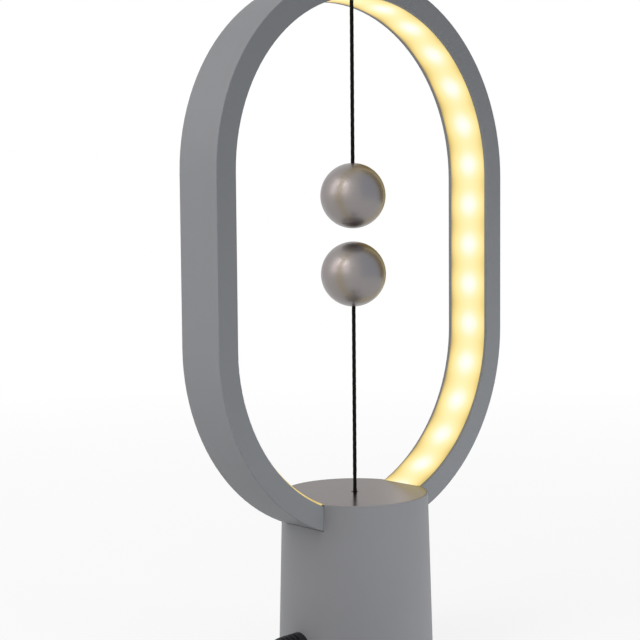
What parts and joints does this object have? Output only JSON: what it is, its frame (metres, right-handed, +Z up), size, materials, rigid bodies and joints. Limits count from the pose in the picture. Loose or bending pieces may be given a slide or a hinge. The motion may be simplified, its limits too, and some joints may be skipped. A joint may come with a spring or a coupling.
{
  "type": "magnetic balance lamp",
  "caption": "Table lamp with a lit stadium ring on a tapered base; a magnetic ball hangs inside it and a second one, drawn up on a cord, works the switch.",
  "frame": {"origin": "middle of the base's foot, on the surface the lamp stands on", "axes": "+Z up, X across the ring, -Y out of the ring's front face"},
  "size_m": [0.2, 0.1649, 0.3507],
  "materials": {
    "base_paint": "satin grey powder coat",
    "ring_paint": "satin grey powder coat",
    "disc_metal": "fine circular brushing",
    "ball_metal": "satin, turned",
    "diffuser_plastic": "opal, lit from behind",
    "strip_white": "matt white",
    "led_lens": "yellow lens",
    "string_fabric": "black braided cord",
    "black_plastic": "matt",
    "cage_plastic": "matt natural",
    "slider_plastic": "smooth",
    "plunger_red": "smooth",
    "tongue_plastic": "smooth",
    "foot_rubber": "matt",
    "boot_rubber": "matt",
    "lead_rubber": "satin",
    "ballast_iron": "as cast",
    "screw_steel": "zinc plated",
    "plug_steel": "nickel plated",
    "magnet_nickel": "nickel plated",
    "contact_brass": "tinned brass",
    "board_green": "solder mask",
    "wire_red": "smooth",
    "wire_white": "smooth"
  },
  "bodies": {
    "lamp": {"base_shell": "base_paint", "top_disc": "disc_metal", "cord_guide": "black_plastic", "bottom_cover": "black_plastic", "foot_pad": "foot_rubber", "ballast_weight": "ballast_iron", "cover_screws": "screw_steel", "ring_frame": "ring_paint", "ring_back_cover": "ring_paint", "diffuser": "diffuser_plastic", "led_strip_left": "strip_white", "led_strip_right": "strip_white", "leds_left": "led_lens", "leds_right": "led_lens", "upper_cord_anchor": "black_plastic", "anchor_screws": "screw_steel", "upper_cord_stub": "string_fabric", "chassis": "black_plastic", "chassis_screws": "screw_steel", "ring_screws": "screw_steel", "switch_cage": "cage_plastic", "cage_screws": "screw_steel", "microswitch_body": "black_plastic", "microswitch_terminals": "contact_brass", "switch_screws": "screw_steel", "driver_board": "board_green", "board_components": "black_plastic", "board_screws": "screw_steel", "cord_boot": "boot_rubber", "cord_lead": "lead_rubber", "cord_clamp": "cage_plastic", "clamp_screws": "screw_steel", "power_leads": "wire_red", "led_leads": "wire_white", "switch_leads": "wire_white", "power_cord": "lead_rubber", "power_cord_coil": "lead_rubber", "power_cord_end": "lead_rubber", "usb_plug_body": "black_plastic", "usb_plug_shell": "plug_steel", "usb_plug_tongue": "tongue_plastic"},
    "switch_slide": {"switch_slider": "slider_plastic", "slider_cord": "string_fabric", "return_spring": "screw_steel"},
    "switch_lever_arm": {"switch_lever": "plug_steel"},
    "switch_button": {"switch_plunger": "plunger_red"},
    "upper_exit": {"upper_bead": "string_fabric"},
    "upper_string": {"upper_cord": "string_fabric"},
    "upper_ball": {"upper_ball_top": "ball_metal", "upper_ball_bottom": "ball_metal", "upper_magnet_carrier": "cage_plastic", "upper_magnet": "magnet_nickel"},
    "lower_exit": {"lower_bead": "string_fabric"},
    "lower_root": {"lower_neck": "string_fabric"},
    "lower_link": {"lower_cord_link": "string_fabric"},
    "lower_string": {"lower_cord": "string_fabric"},
    "lower_ball": {"lower_ball_top": "ball_metal", "lower_ball_bottom": "ball_metal", "lower_magnet_carrier": "cage_plastic", "lower_magnet": "magnet_nickel"}
  },
  "joints": [
    {"name": "upper_side_swing", "type": "hinge", "parent": "lamp", "child": "upper_exit", "pos_m": [0, 0, 0.33705], "axis": [0, 1, 0], "range_deg": [-44, 44]},
    {"name": "upper_fore_swing", "type": "hinge", "parent": "upper_exit", "child": "upper_string", "pos_m": [0, 0, 0.33705], "axis": [1, 0, 0], "range_deg": [-80, 80]},
    {"name": "upper_ball_spin", "type": "hinge", "parent": "upper_string", "child": "upper_ball", "pos_m": [0, 0, 0.2406], "axis": [0, 0, 1], "continuous": true},
    {"name": "lower_side_swing", "type": "hinge", "parent": "lamp", "child": "lower_exit", "pos_m": [0, 0, 0.0896], "axis": [0, 1, 0], "range_deg": [-39, 39], "stiffness_Nm_per_rad": 0.3},
    {"name": "lower_fore_swing", "type": "hinge", "parent": "lower_exit", "child": "lower_root", "pos_m": [0, 0, 0.0896], "axis": [1, 0, 0], "range_deg": [-86, 86], "stiffness_Nm_per_rad": 0.3},
    {"name": "lower_cord_pull", "type": "slide", "parent": "lower_root", "child": "lower_link", "axis": [0, 0, 1], "range_m": [-0.006, 0], "stiffness_N_per_m": 200, "springref_m": 0.006},
    {"name": "lower_cord_bend", "type": "hinge", "parent": "lower_link", "child": "lower_string", "pos_m": [0, 0, 0.1356], "axis": [1, 0, 0], "range_deg": [-75, 75], "stiffness_Nm_per_rad": 0.15},
    {"name": "lower_ball_spin", "type": "hinge", "parent": "lower_string", "child": "lower_ball", "pos_m": [0, 0, 0.20065], "axis": [0, 0, 1], "continuous": true},
    {"name": "switch_pull", "type": "slide", "parent": "lamp", "child": "switch_slide", "axis": [0, 0, 1], "range_m": [-0.006, 0], "deforming": ["return_spring"]},
    {"name": "switch_lever_tilt", "type": "hinge", "parent": "lamp", "child": "switch_lever_arm", "pos_m": [-0.0067, 0.01275, 0.0737], "axis": [0, 1, 0], "range_deg": [0, 12]},
    {"name": "switch_button_pop", "type": "slide", "parent": "lamp", "child": "switch_button", "axis": [0, 0, 1], "range_m": [-0.0006, 0]}
  ],
  "couplings": [
    {"joint": "switch_pull", "follows": "lower_cord_pull", "ratio": 1},
    {"joint": "switch_lever_tilt", "follows": "lower_cord_pull", "rad_per_m": -34.9},
    {"joint": "switch_button_pop", "follows": "lower_cord_pull", "ratio": 0.1}
  ]
}
